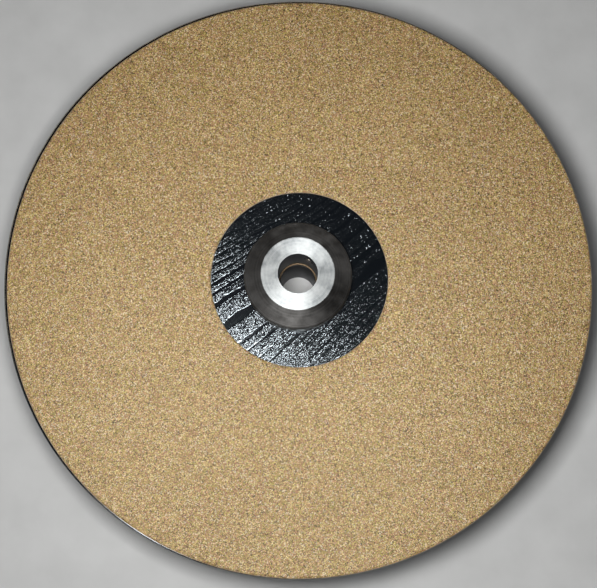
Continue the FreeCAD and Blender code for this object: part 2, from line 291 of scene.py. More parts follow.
def grit_material():
    """Tan abrasive grain: single grains, darker between them, and a few pale grains that are
    painted glints.
    """
    n = Nodes("bonded_grain")
    grains = n.cells(n.mapped((GRIT_CELLS, GRIT_CELLS, GRIT_CELLS)))
    tone, sparkle, tint = n.split(grains.outputs["Color"])
    # The colour is darkened towards each grain cell's edge, where the relief dips between grains.
    valley = n.range(grains.outputs["Distance"], 0.30, 0.75)
    clump_axes = n.mapped((CLUMP_CELLS, CLUMP_CELLS, CLUMP_CELLS))
    clumps = n.noise(clump_axes, detail=1.0, roughness=0.6)
    drift = n.noise(n.mapped((130, 130, 130)), detail=3.0)
    wide = n.noise(n.mapped((22, 22, 22)), detail=2.0)
    value = n.math("ADD", n.math("MULTIPLY", tone, 0.72), n.math("MULTIPLY", clumps, 0.28))
    value = n.math("SUBTRACT", value, n.math("MULTIPLY", valley, 0.20))
    value = n.math("ADD", value, n.range(drift, 0.3, 0.7, -0.025, 0.025))
    value = n.math("ADD", value, n.range(wide, 0.3, 0.7, -0.02, 0.02))
    colour = n.ramp(value, [
        (0.12, (0.042, 0.021, 0.007)),
        (0.32, (0.145, 0.088, 0.030)),
        (0.48, (0.285, 0.180, 0.056)),
        (0.63, (0.48, 0.334, 0.112)),
        (0.82, (0.90, 0.74, 0.35)),
    ])
    pink = n.ramp(tint, [(0.62, 0.0), (0.74, 1.0)])
    colour = n.mix(n.math("MULTIPLY", pink, 0.55), colour, (0.54, 0.24, 0.15))
    yellow = n.ramp(tint, [(0.22, 1.0), (0.34, 0.0)])
    colour = n.mix(n.math("MULTIPLY", yellow, 0.50), colour, (0.50, 0.42, 0.075))
    # Painted glints: a few grains get a pale, near-white colour that stands for light caught on
    # them; they are also a little less rough.
    painted_glint = n.ramp(sparkle, [(0.88, 0.0), (0.92, 1.0)])
    colour = n.mix(n.math("MULTIPLY", painted_glint, 0.52), colour, (0.93, 0.83, 0.66))
    roughness = n.range(painted_glint, 0.0, 1.0, 0.39, 0.28)
    height = n.math("SUBTRACT", n.math("MULTIPLY", tone, 0.6), grains.outputs["Distance"])
    normal = n.bump(height, 0.14 * MM, 0.6)
    normal = n.bump(clumps, 0.20 * MM, 0.3, normal)
    return n.finish(colour, roughness, normal, Specular_IOR_Level=0.75,
                    Specular_Tint=(1.0, 0.90, 0.68, 1.0))


def paper_material():
    """Cut edge of the kraft backing, with its fibres."""
    n = Nodes("kraft_backing")
    fibre = n.noise(n.mapped((1500, 1500, 6000)), detail=4.0, roughness=0.65)
    stain = n.noise(n.mapped((150, 150, 150)), detail=3.0)
    value = n.math("ADD", n.math("MULTIPLY", fibre, 0.6), n.math("MULTIPLY", stain, 0.4))
    colour = n.ramp(value, [
        (0.3, (0.27, 0.19, 0.12)),
        (0.5, (0.46, 0.35, 0.24)),
        (0.7, (0.70, 0.60, 0.46)),
    ])
    return n.finish(colour, n.range(fibre, 0.3, 0.7, 0.75, 0.95), n.bump(fibre, 0.05 * MM, 0.6))


def glue_material():
    """Dried contact adhesive, brown and a little glossy."""
    n = Nodes("contact_adhesive")
    blob = n.noise(n.mapped((1100, 1100, 2500)), detail=3.0)
    colour = n.ramp(blob, [(0.35, (0.10, 0.055, 0.02)), (0.65, (0.28, 0.18, 0.08))])
    return n.finish(colour, n.range(blob, 0.3, 0.7, 0.3, 0.55), n.bump(blob, 0.08 * MM, 0.6))


def painted_wood(name):
    """Granular black paint on fir: "fleck" says where the wood stands up and glints.

    There the paint is made of small facets, each with its own lean, so that it
    catches a light or stays black. A second attribute marks the rim's corner, painted
    in bare-wood colours in patches: worn paint, and a painted highlight on one side.
    """
    n = Nodes(name)
    fleck = n.add("ShaderNodeAttribute", attribute_name="fleck").outputs["Fac"]
    wear_and_highlight = n.add("ShaderNodeAttribute", attribute_name="wear_and_highlight").outputs["Fac"]
    u, v, w = n.split(n.mapped((1, 1, 1), -GRAIN_DIRECTION))
    long_axes = n.join(n.math("MULTIPLY", u, 260), n.math("MULTIPLY", v, 2600), w)
    streak = n.noise(long_axes, detail=3.0, roughness=0.65)
    facet_axes = n.join(
        n.math("MULTIPLY", u, FACETS_ALONG), n.math("MULTIPLY", v, FACETS_ACROSS), 0.0,
    )
    first, second, third = n.split(n.cells(facet_axes).outputs["Color"])
    around_zero = n.math("ADD", n.math("ADD", first, third), -1.0)
    tilt_u = n.math("MULTIPLY", around_zero, LEAN_ALONG)
    tilt_v = n.math("MULTIPLY", n.math("SUBTRACT", second, third), LEAN_ACROSS)
    grains = n.cells(n.mapped((STRAY_CELLS, STRAY_CELLS, 0)))
    chance, lean_x, lean_y = n.split(grains.outputs["Color"])
    stray = n.ramp(chance, [(0.93, 0.0), (0.95, 1.0)])
    stray_u = n.range(lean_x, 0, 1, -STRAY_LEAN, STRAY_LEAN)
    stray_v = n.range(lean_y, 0, 1, -STRAY_LEAN, STRAY_LEAN)
    tilt_u = n.math("ADD", tilt_u, n.math("MULTIPLY", stray, stray_u))
    tilt_v = n.math("ADD", tilt_v, n.math("MULTIPLY", stray, stray_v))
    rough_paint = n.noise(n.mapped((5200, 5200, 5200)), detail=2.0, roughness=0.6)
    raised = n.range(fleck, 0.02, 0.60)
    tilt = n.join(n.math("MULTIPLY", tilt_u, raised), n.math("MULTIPLY", tilt_v, raised), 0.0)
    turned = n.add("ShaderNodeMapping", vector_type="VECTOR")
    n.link(tilt, turned.inputs["Vector"])
    turned.inputs["Rotation"].default_value = (0, 0, GRAIN_DIRECTION)
    bump = n.bump(streak, 0.012 * MM, 0.6)
    bump = n.bump(rough_paint, 0.005 * MM, 0.5, bump)
    leaned = n.add("ShaderNodeVectorMath", operation="ADD")
    n.link(bump, leaned.inputs[0])
    n.link(turned.outputs[0], leaned.inputs[1])
    normal = n.add("ShaderNodeVectorMath", operation="NORMALIZE")
    n.link(leaned.outputs[0], normal.inputs[0])
    # Painted glint: on raised grain, the middle of each stray grain gets a lighter grey than the
    # black paint, standing for light caught on its top.
    middle = n.ramp(grains.outputs["Distance"], [(0.15, 1.0), (0.5, 0.0)])
    painted_crest_glint = n.math("MULTIPLY", raised, middle)
    colour = n.mix(painted_crest_glint, (0.0010, 0.0019, 0.0036), (0.009, 0.010, 0.012))
    # Bare-wood colours on the rim's corner: worn paint, and a painted highlight on one side.
    bare_wood_and_highlight = n.ramp(streak, [(0.35, (0.20, 0.155, 0.11)), (0.65, (0.52, 0.44, 0.33))])
    rubbed_and_highlight = n.math("MULTIPLY", wear_and_highlight, n.range(rough_paint, 0.38, 0.58), clamp=True)
    colour = n.mix(rubbed_and_highlight, colour, bare_wood_and_highlight)
    roughness = n.math("ADD", n.range(raised, 0.0, 1.0, 0.11, 0.15),
                       n.math("MULTIPLY", rubbed_and_highlight, 0.4), clamp=True)
    return n.finish(colour, roughness, normal.outputs[0], Specular_IOR_Level=1.0,
                    Specular_Tint=(0.86, 0.95, 1.0, 1.0))


def ply_edge_material(name, along):
    """Painted plywood edge: long fibres, or end grain when along is false."""
    n = Nodes(name)
    x, y, z = n.split(n.position)
    angle = n.math("ARCTAN2", y, x)
    if along:
        axes = n.join(n.math("MULTIPLY", angle, 9), n.math("MULTIPLY", z, 2600), 0.0)
    else:
        axes = n.join(n.math("MULTIPLY", angle, 230), n.math("MULTIPLY", z, 900), 0.0)
    fibre = n.noise(axes, detail=4.0, roughness=0.65)
    blot = n.noise(n.mapped((70, 70, 260)), detail=3.0)
    wear_and_highlight = n.math("MULTIPLY", n.ramp(fibre, [(0.58, 0.0), (0.72, 1.0)]),
                  n.ramp(blot, [(0.52, 0.0), (0.66, 1.0)]))
    colour = n.mix(fibre, (0.008, 0.008, 0.010), (0.030, 0.031, 0.035))
    colour = n.mix(n.math("MULTIPLY", wear_and_highlight, 0.4), colour, (0.20, 0.15, 0.10))
    roughness = n.range(fibre, 0.3, 0.7, 0.50, 0.30)
    return n.finish(colour, roughness, n.bump(fibre, 0.10 * MM, 0.8))


def turned_metal(name, low, high, roughness, groove=0.5, per_mm=9.0, stain=0.3, brushed=0.5):
    """Lathe-turned metal: feed marks round the axis, a little uneven, that spread its gloss."""
    n = Nodes(name)
    radius = n.radius()
    _, _, z = n.split(n.position)
    travel = n.math("ADD", radius, z)
    wobble = n.noise(n.mapped((120, 120, 120)), detail=2.0)
    lane = n.math("ADD", n.math("MULTIPLY", travel, per_mm / MM), n.math("MULTIPLY", wobble, 1.2))
    marks = n.noise(n.join(lane, 0.0, 0.0), detail=3.0, roughness=0.7)
    cloud = n.noise(n.mapped((210, 210, 210)), detail=3.0, roughness=0.6)
    scratch = n.noise(n.mapped((2600, 700, 1500), 0.7), detail=2.0)
    value = n.math("ADD", n.math("MULTIPLY", marks, 1.0 - stain), n.math("MULTIPLY", cloud, stain))
    colour = n.ramp(value, [(0.36, low), (0.62, high)])
    rough = n.math("ADD", n.range(marks, 0.3, 0.7, roughness * 0.8, roughness * 1.2),
                   n.range(cloud, 0.3, 0.7, -0.05, 0.06))
    height = n.math("ADD", marks, n.math("MULTIPLY", scratch, 0.25))
    normal = n.bump(height, 0.02 * MM, groove)
    around = n.add("ShaderNodeTangent", direction_type="RADIAL", axis="Z")
    n.link(around.outputs[0], n.shader.inputs["Tangent"])
    return n.finish(colour, rough, normal, 1.0, Anisotropic=brushed,
                    Anisotropic_Rotation=ACROSS_THE_MARKS)


def hub_materials():
    """Cone and barrel, faced nose, bore and thread of the hub."""
    # Painted shade: the cone and barrel are the same steel as the faced nose, but get a far darker
    # colour standing for the dark surroundings they reflect.
    cone = turned_metal("shaded_turned_steel", (0.042, 0.040, 0.038), (0.124, 0.121, 0.117), 0.37,
                        groove=0.12, brushed=0.85)
    face = turned_metal("bright_faced_steel", (0.20, 0.214, 0.218), (0.52, 0.535, 0.53), 0.50,
                        groove=0.45, per_mm=2.6, stain=0.55, brushed=0.62)
    bore = turned_metal("bored_steel", (0.10, 0.10, 0.105), (0.22, 0.22, 0.23), 0.40)
    thread = turned_metal("cut_thread_steel", (0.20, 0.195, 0.19), (0.42, 0.41, 0.40), 0.34,
                          groove=0.3, stain=0.6)
    return cone, face, bore, thread


def dark_steel():
    """Ground and hardened steel of the sleeve and pins."""
    return turned_metal("ground_steel", (0.045, 0.045, 0.05), (0.10, 0.10, 0.105), 0.48,
                        groove=0.25, per_mm=24.0, stain=0.4)


def shaded_bronze():
    """Yellow bronze of the stop ring, dull, with its colour painted dark as painted shade for its
    place deep in the bore.
    """
    return turned_metal("shaded_yellow_bronze", (0.045, 0.032, 0.020), (0.115, 0.082, 0.048), 0.50,
                        groove=0.3, per_mm=14.0, stain=0.7, brushed=0.3)


def worn_bronze():
    """The grub screw's tip, rubbed pale by the spindle."""
    return turned_metal("rubbed_bronze", (0.34, 0.30, 0.26), (0.60, 0.55, 0.49), 0.42, groove=0.4)


def plated_metal(name, low, high, roughness):
    """Plated or blackened flat metal with a soft spangle and handling marks."""
    n = Nodes(name)
    cloud = n.noise(n.mapped((260, 260, 260)), detail=4.0, roughness=0.6)
    rub_and_highlight = n.noise(n.mapped((900, 3800, 900), 0.5), detail=2.0)
    value = n.math("ADD", n.math("MULTIPLY", cloud, 0.7), n.math("MULTIPLY", rub_and_highlight, 0.3))
    colour = n.ramp(value, [(0.35, low), (0.65, high)])
    rough = n.range(rub_and_highlight, 0.3, 0.7, roughness * 0.8, roughness * 1.3)
    return n.finish(colour, rough, n.bump(rub_and_highlight, 0.015 * MM, 0.4), 1.0)


def floor_material():
    """Plain pale floor."""
    n = Nodes("pale_floor")
    grain = n.noise(n.mapped((60, 60, 60)), detail=5.0)
    colour = n.ramp(grain, [(0.3, (0.60, 0.60, 0.59)), (0.7, (0.66, 0.66, 0.65))])
    return n.finish(colour, n.range(grain, 0.3, 0.7, 0.7, 0.85))


# ---------------------------------------------------------------- mesh helpers

def inside_out(points, faces):
    """Whether a closed skin's faces point inwards."""
    first, second, third, fourth = (points[faces[:, i]] for i in range(4))
    half_one = np.einsum("ij,ij->i", first, np.cross(second, third))
    half_two = np.einsum("ij,ij->i", first, np.cross(third, fourth))
    return half_one.sum() + half_two.sum() < 0


def rings_mesh(name, rings, ring_material=None, closed=True):
    """Mesh from an array of rings, shape (rings, steps, 3), joined in order."""
    rings = np.asarray(rings, float)
    count, steps, _ = rings.shape
    lower = np.arange(count if closed else count - 1)
    upper = (lower + 1) % count
    here = np.arange(steps)
    after = (here + 1) % steps
    faces = np.stack([
        lower[:, None] * steps + here,
        lower[:, None] * steps + after,
        upper[:, None] * steps + after,
        upper[:, None] * steps + here,
    ], axis=-1).reshape(-1, 4)
    if inside_out(rings.reshape(-1, 3), faces):
        faces = faces[:, ::-1]
    mesh = bpy.data.meshes.new(name)
    mesh.vertices.add(count * steps)
    mesh.vertices.foreach_set("co", rings.reshape(-1))
    mesh.loops.add(faces.size)
    mesh.loops.foreach_set("vertex_index", faces.reshape(-1))
    mesh.polygons.add(len(faces))
    mesh.polygons.foreach_set("loop_start", np.arange(0, faces.size, 4))
    if ring_material is not None:
        slots = np.repeat(np.asarray(ring_material)[lower], steps)
        mesh.polygons.foreach_set("material_index", slots)
    mesh.update(calc_edges=True)
    mesh.validate()
    return mesh


def polar(radius, angle, z, centre=(0.0, 0.0)):
    """Points from radius, angle and height, which may be arrays or numbers."""
    radius, angle, z = np.broadcast_arrays(radius, angle, z)
    x = centre[0] + radius * np.cos(angle)
    y = centre[1] + radius * np.sin(angle)
    return np.stack([x, y, z], axis=-1)


def angles(steps):
    """Even angles once round a circle."""
    return np.arange(steps) * TURN / steps


def angle_from(middle, turn):
    """Signed angle between a direction and each of the given ones."""
    return (turn - middle + math.pi) % TURN - math.pi


def piece(mesh, materials, nodes, body=ROTOR, sharp=32):
    """Turn a mesh into an object that stands for CAD nodes."""
    mesh.polygons.foreach_set("use_smooth", np.ones(len(mesh.polygons), bool))
    mesh.set_sharp_from_angle(angle=math.radians(sharp))
    for material in materials:
        mesh.materials.append(material)
    made = bpy.data.objects.new(mesh.name, mesh)
    bpy.context.scene.collection.objects.link(made)
    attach(made, body)
    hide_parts(*nodes)
    return made


def softened(profile, radius):
    """Round the corners of a closed (r, z) profile with three-point arcs."""
    result = []
    count = len(profile)
    for index, point in enumerate(profile):
        here = np.array(point, float)
        before = np.array(profile[index - 1], float) - here
        after = np.array(profile[(index + 1) % count], float) - here
        reach = min(radius, 0.45 * np.linalg.norm(before), 0.45 * np.linalg.norm(after))
        start = here + reach * before / np.linalg.norm(before)
        end = here + reach * after / np.linalg.norm(after)
        middle = 0.25 * start + 0.5 * here + 0.25 * end
        result += [tuple(start), tuple(middle), tuple(end)]
    return result


def turned_mesh(name, profile):
    """Closed solid of revolution from an (r, z) outline."""
    turn = angles(RING_STEPS)
    rings = [polar(r, turn, z) for r, z in profile]
    return rings_mesh(name, rings)


class ValueNoise:
    """Smooth noise on a seeded lattice, for relief made in the mesh."""

    SIZE = 256

    def __init__(self, seed):
        self.table = np.random.default_rng(seed).random((self.SIZE, self.SIZE))

    def __call__(self, x, y):
        x0 = np.floor(x).astype(int)
        y0 = np.floor(y).astype(int)
        fx = x - x0
        fy = y - y0
        fx = fx * fx * (3 - 2 * fx)
        fy = fy * fy * (3 - 2 * fy)
        near_x, far_x = x0 % self.SIZE, (x0 + 1) % self.SIZE
        near_y, far_y = y0 % self.SIZE, (y0 + 1) % self.SIZE
        bottom = self.table[near_x, near_y] * (1 - fx) + self.table[far_x, near_y] * fx
        top = self.table[near_x, far_y] * (1 - fx) + self.table[far_x, far_y] * fx
        return bottom * (1 - fy) + top * fy


def ripple(seed, size, turn, waves=(5, 13, 31, 67, 131)):
    """Small closed wave round a circle, for cut and sanded edges."""
    chooser = np.random.default_rng(seed)
    total = np.zeros_like(turn)
    for order, wave in enumerate(waves):
        total += np.sin(wave * turn + chooser.uniform(0, TURN)) / (1 + 0.4 * order)
    return size * total / len(waves)


def smooth_step(value, low, high):
    """Smooth rise from 0 at low to 1 at high."""
    share = np.clip((value - low) / (high - low), 0, 1)
    return share * share * (3 - 2 * share)


# ---------------------------------------------------------------- abrasive sheet

def sheet_size():
    """Centre, outer radius and hole radius of the stuck-on sheet."""
    low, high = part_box("backing_paper")
    centre = ((low.x + high.x) / 2, (low.y + high.y) / 2)
    return centre, (high.x - low.x) / 2, PAPER_HOLE_RADIUS


def make_grain_coat(material):
    """The grain layer: a real relief of grains, chipped back from the cut edges."""
    low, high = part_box("abrasive_grain")
    centre, outer, inner = sheet_size()
    steps = SHEET_STEPS
    turn = angles(steps)
    chooser = np.random.default_rng(11)
    outer_edge = outer - 0.16 * MM - abs(ripple(1, 0.3 * MM, turn, (41, 97, 173, 290, 431)))
    inner_edge = inner + 0.09 * MM + abs(ripple(2, 0.22 * MM, turn, (17, 37, 71, 113, 190)))
    count = GRAIN_ROWS
    share = np.linspace(0, 1, count)[:, None]
    radius = outer_edge * (1 - share) + inner_edge * share
    radius[1:-1] += chooser.uniform(-GRAIN_SHUFFLE, GRAIN_SHUFFLE, (count - 2, steps))
    skew = chooser.uniform(-0.3, 0.3, (count, steps)) * TURN / steps
    depth = GRAIN_DEPTH * chooser.random((count, steps)) ** 1.6
    depth[0] += 0.12 * MM
    depth[-1] += 0.12 * MM
    top = polar(radius, turn + skew, high.z - depth, centre)
    outer_foot = polar(outer_edge, turn, low.z, centre)[None]
    inner_foot = polar(inner_edge, turn, low.z, centre)[None]
    mesh = rings_mesh("grain_coat", np.concatenate([outer_foot, top, inner_foot]))
    return piece(mesh, [material], ["abrasive_grain"], sharp=80)


def make_backing(material):
    """Kraft backing with a knife-cut edge that stands a hair proud of the grain."""
    low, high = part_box("backing_paper")
    centre, outer, inner = sheet_size()
    turn = angles(SHEET_STEPS)
    thick = high.z - low.z
    rows = ((0.00, 0.10), (0.00, 0.85), (0.06, 1.0))
    rings = []
    for inset, level in rows:
        fray = ripple(int(100 * level), 0.035 * MM, turn, (23, 59, 127, 211, 389))
        edge = outer - abs(fray) - inset * MM
        rings.append(polar(edge, turn, low.z + level * thick, centre))
    for inset, level in reversed(rows):
        fray = ripple(int(70 * level) + 3, 0.035 * MM, turn, (19, 47, 101, 173, 311))
        edge = inner + abs(fray) + inset * MM
        rings.append(polar(edge, turn, low.z + level * thick, centre))
    mesh = rings_mesh("kraft_sheet", rings)
    return piece(mesh, [material], ["backing_paper"], sharp=60)


def make_glue_line(material):
    """Adhesive film, squeezed out here and there and short elsewhere."""
    low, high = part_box("adhesive_film")
    centre, outer, inner = sheet_size()
    turn = angles(EDGE_STEPS)
    out_edge = outer - 0.35 * MM + ripple(5, 0.3 * MM, turn)
    in_edge = inner + 0.30 * MM + ripple(6, 0.25 * MM, turn)
    rings = [
        polar(out_edge, turn, low.z, centre),
        polar(out_edge, turn, high.z, centre),
        polar(in_edge, turn, high.z, centre),
        polar(in_edge, turn, low.z, centre),
    ]
    mesh = rings_mesh("glue_line", rings)
    return piece(mesh, [material], ["adhesive_film"])


# ---------------------------------------------------------------- plywood board

# Smooth dark growth bands: place across the grain from the spindle axis, and
# width at the near and the far end of the grain, all in millimetres.
GROWTH_BANDS = (
    (15.8, 1.2, 1.5), (12.9, 1.3, 0.6), (9.2, 1.7, 1.8), (1.3, 4.2, 2.2),
    (-5.7, 1.4, 0.8), (-9.3, 0.9, 2.6), (-16.6, 0.3, 4.6),
)
FINE_BANDS = ((18.6, 34.0, 3.1, 0.7), (-13.5, -35.0, -2.6, 0.4))
FAN = 0.0047
KNOT = (16.0, 22.0, 5.0, 2.6)


def across_grain(x, y):
    """Along and across coordinates of the veneer's fanned grain, in millimetres."""
    cosine, sine = math.cos(GRAIN_DIRECTION), math.sin(GRAIN_DIRECTION)
    u = x * cosine + y * sine
    v = -x * sine + y * cosine
    v = v + 0.5 * (ValueNoise(33)(u / 1.8 + 60, v / 0.9 + 60) - 0.5)
    sway = ValueNoise(21)(u / 13 + 40, v / 6 + 40) - 0.5
    knot_x, knot_y, spread, push = KNOT
    near = np.exp(-((x - knot_x) ** 2 + (y - knot_y) ** 2) / (2 * spread ** 2))
    return u, v * (1 + FAN * u) + 0.8 * sway + push * near


def all_bands():
    """The broad bands and, further out, fine ones at uneven steps."""
    bands = list(GROWTH_BANDS)
    chooser = np.random.default_rng(8)
    for start, stop, step, width in FINE_BANDS:
        place = start
        while abs(place) < abs(stop):
            share = chooser.uniform(0.6, 1.3, 2)
            bands.append((place, width * share[0], width * share[1]))
            place += step * chooser.uniform(0.65, 1.35)
    return bands


def fir_relief(x, y):
    """Height in 0..1 and fleck in 0..1 of raised-grain fir, x and y in millimetres."""
    u, v = across_grain(x, y)
    ridge = np.ones_like(u)
    far = np.clip(u / 60 + 0.5, 0, 1)
    for middle, near_width, far_width in all_bands():
        width = near_width * (1 - far) + far_width * far
        width = width * (0.75 + 0.5 * ValueNoise(31)(u / 5 + 70 + middle, v * 0 + 9))
        apart = np.abs(v - middle)
        ridge = np.minimum(ridge, smooth_step(apart, 0.4 * width - 0.15, 0.4 * width + 0.2))
    fibres = ValueNoise(41)(u / 9.0 + 90, v / 0.44 + 90)
    short = ValueNoise(43)(u / 2.0 + 90, v / 0.34 + 90)
    crumbs = ValueNoise(47)(u / 0.45 + 90, v / 0.40 + 90)
    rough = 0.70 * fibres + 0.24 * short + 0.06 * crumbs
    height = ridge * (0.55 + 0.45 * rough)
    fleck = ridge * (0.12 + 0.88 * smooth_step(rough, 0.20, 0.60))
    return height, fleck


def add_value(mesh, name, values):
    """Store one number for each point of a mesh, for its material to read."""
    layer = mesh.attributes.new(name, "FLOAT", "POINT")
    layer.data.foreach_set("value", np.asarray(values, np.float32).reshape(-1))


def ply_outline(node, index, turn):
    """Sanded edge radius of one ply; the plies differ by a hair."""
    low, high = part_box(node)
    full = (high.x - low.x) / 2
    inset = PLY_INSETS[index] * MM
    return full - inset - abs(ripple(60 + index, 0.05 * MM, turn, (9, 23, 57, 121, 223)))


def make_inner_ply(node, index, material):
    """One inner ply, which shows its sanded edge."""
    low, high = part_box(node)
    turn = angles(EDGE_STEPS)
    edge = ply_outline(node, index, turn)
    corner = 0.06 * MM
    rings = [
        polar(edge - corner, turn, low.z),
        polar(edge, turn, low.z + corner),
        polar(edge, turn, high.z - corner),
        polar(edge - corner, turn, high.z),
        polar(BOARD_HOLE_RADIUS, turn, high.z),
        polar(BOARD_HOLE_RADIUS, turn, low.z),
    ]
    mesh = rings_mesh(node + "_layer", rings)
    return piece(mesh, [material], [node])


def veneer_rings(edge, turn, flat, outside, sign):
    """Edge and rounded outer corner of a face veneer, from inside to outside."""
    corner = VENEER_CORNER
    rings = [polar(edge - 0.05 * MM, turn, flat)]
    for step in range(5):
        bend = math.pi / 2 * step / 4
        inset = corner * (1 - math.cos(bend))
        level = outside - sign * corner * (1 - math.sin(bend))
        rings.append(polar(edge - inset, turn, level))
    return rings


def make_front_veneer(material):
    """Front veneer with the open grain cut into its mesh where it shows."""
    node = "front_face_veneer"
    low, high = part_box(node)
    steps = VENEER_STEPS
    turn = angles(steps)
    edge = ply_outline(node, 6, turn)
    rings = veneer_rings(edge, turn, low.z, high.z, 1)
    hidden = np.linspace(BOARD_RADIUS - 2.2 * MM, PAPER_HOLE_RADIUS + 1.6 * MM, 8)
    shown = np.arange(PAPER_HOLE_RADIUS + 1.4 * MM, BOARD_HOLE_RADIUS, -FRONT_ROW)
    fleck_rows = [np.zeros(steps)] * len(rings)
    # Pale corner on one side of the rim: worn paint, and a painted highlight where light falls on
    # that side.
    rub_and_highlight = WEAR_AND_HIGHLIGHT_SIDE - turn
    rub_and_highlight = smooth_step(np.cos(rub_and_highlight), 0.15, 0.95) + ripple(71, 0.5, turn, (11, 29, 61, 140))
    wear_and_highlight_rows = [np.clip(rub_and_highlight, 0, 1)] * len(rings)
    rings.append(polar(edge - 0.5 * MM, turn, high.z - 0.01 * MM))
    fleck_rows.append(np.zeros(steps))
    for radius in hidden:
        rings.append(polar(radius, turn, high.z - FRONT_RELIEF))
        fleck_rows.append(np.zeros(steps))
    for radius in shown:
        x, y = radius * np.cos(turn), radius * np.sin(turn)
        height, fleck = fir_relief(x / MM, y / MM)
        rings.append(polar(radius, turn, high.z - FRONT_RELIEF * (1 - height)))
        fleck_rows.append(fleck)
    rings.append(polar(BOARD_HOLE_RADIUS, turn, high.z - FRONT_RELIEF))
    rings.append(polar(BOARD_HOLE_RADIUS, turn, low.z))
    fleck_rows += [np.zeros(steps)] * 2
    wear_and_highlight_rows += [np.zeros(steps)] * (len(rings) - len(wear_and_highlight_rows))
    mesh = rings_mesh("front_veneer_face", rings)
    add_value(mesh, "fleck", fleck_rows)
    add_value(mesh, "wear_and_highlight", wear_and_highlight_rows)
    return piece(mesh, [material], [node], sharp=85)


def make_rear_veneer(material):
    """Rear veneer, with a coarser grain relief."""
    node = "rear_face_veneer"
    low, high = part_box(node)
    steps = SHEET_STEPS
    turn = angles(steps)
    edge = ply_outline(node, 0, turn)
    rings = veneer_rings(edge, turn, high.z, low.z, -1)
    fleck_rows = [np.zeros(steps)] * len(rings)
    for radius in np.arange(BOARD_RADIUS - 1.0 * MM, BOARD_HOLE_RADIUS, -REAR_ROW):
        x, y = radius * np.cos(turn), radius * np.sin(turn)
        height, fleck = fir_relief(x / MM * 0.62 + 9.0, y / MM * 0.62 - 4.0)
        rings.append(polar(radius, turn, low.z + REAR_RELIEF * (1 - height)))
        fleck_rows.append(fleck)
    rings.append(polar(BOARD_HOLE_RADIUS, turn, low.z + REAR_RELIEF))
    rings.append(polar(BOARD_HOLE_RADIUS, turn, high.z))
    fleck_rows += [np.zeros(steps)] * 2
    mesh = rings_mesh("rear_veneer_face", rings)
    add_value(mesh, "fleck", fleck_rows)
    return piece(mesh, [material], [node], sharp=85)


# ---------------------------------------------------------------- hub

def hub_profile():
    """Outline of the hub from the seat's rear end outwards, as (r, z, finish)."""
    low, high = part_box("hub_body")
    board_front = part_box("front_face_veneer")[1].z
    sleeve_low, sleeve_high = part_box("spindle_sleeve")
    ring_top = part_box("bore_stop_ring")[1].z
    seat = (sleeve_high.x - sleeve_low.x) / 2
    head = (high.x - low.x) / 2
    thread_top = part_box("tab_washer")[1].z
    rim = board_front + HEAD_SIDE
    steel, face, bore, thread = 0, 1, 2, 3
    rows = [
        (seat, 0.0, steel),
        (THREAD_ROOT - 0.5 * MM, 0.0, steel),
    ]
    level = 0.35 * MM
    while level < thread_top - 0.1 * MM:
        rows.append((None, level, thread))
        level += THREAD_PITCH / THREAD_SLICES
    rows += [
        (BARREL_RADIUS - 0.15 * MM, thread_top, steel),
        (BARREL_RADIUS, thread_top + 0.15 * MM, steel),
        (BARREL_RADIUS, board_front + 0.3 * MM, steel),
        (head - 0.9 * MM, board_front + 0.02 * MM, steel),
        (head - 0.45 * MM, board_front + 0.02 * MM, steel),
        (head - 0.08 * MM, board_front + 0.30 * MM, steel),
        (head, board_front + 0.45 * MM, steel),
    ]
    for share in np.linspace(0, 1, 14)[1:-1]:
        rows.append((head, board_front + 0.45 * MM + share * (HEAD_SIDE - 0.75 * MM), steel))
    rows += [
        (head, rim - 0.30 * MM, steel),
        (head - 0.07 * MM, rim - 0.06 * MM, steel),
        (head - 0.24 * MM, rim + 0.12 * MM, steel),
    ]
    nose_rise = high.z - rim
    for share in np.linspace(0, 1, 26)[1:-1]:
        r = head + share * (NOSE_RADIUS - head)
        rows.append((r, rim + share * nose_rise, steel))
    rows += [
        (NOSE_RADIUS + 0.16 * MM, high.z - 0.10 * MM, steel),
        (NOSE_RADIUS + 0.04 * MM, high.z - 0.03 * MM, face),
        (NOSE_RADIUS - 0.08 * MM, high.z, face),
    ]
    for share in np.linspace(0, 1, 16)[1:-1]:
        r = NOSE_RADIUS + share * (FRONT_BORE_RADIUS - NOSE_RADIUS)
        rows.append((r, high.z, face))
    rows += [
        (FRONT_BORE_RADIUS + 0.10 * MM, high.z, face),
        (FRONT_BORE_RADIUS + 0.02 * MM, high.z - 0.06 * MM, face),
        (FRONT_BORE_RADIUS, high.z - 0.15 * MM, bore),
        (FRONT_BORE_RADIUS, ring_top, bore),
        (seat, ring_top, bore),
    ]
    return rows


def thread_tooth(z, turn):
    """Height of a helical thread at a level, from 0 at its root to 1 at its crest."""
    phase = (z / THREAD_PITCH - turn / TURN) % 1.0
    return 1 - np.clip(np.abs(phase - 0.5) * 2.6 - 0.3, 0, 1)


def thread_radius(z, turn):
    """Radius of the barrel's thread, which starts shallow at the rear."""
    fade = smooth_step(z, 0.3 * MM, 1.4 * MM)
    painted_crest_glint = THREAD_ROOT + (THREAD_CREST - THREAD_ROOT) * fade
    return THREAD_ROOT + (painted_crest_glint - THREAD_ROOT) * thread_tooth(z, turn)


def with_keyway(radius, z, turn, top):
    """Cut the washer's keyway into the rear of the barrel, at the lower side."""
    if z > top:
        return radius
    apart = angle_from(KEYWAY_SIDE, turn)
    floor = KEYWAY_FLOOR / np.cos(apart)
    inside = np.abs(np.sin(apart)) * radius < KEYWAY_HALF
    inside &= np.abs(apart) < math.pi / 2
    return np.where(inside, np.minimum(radius, floor), radius)


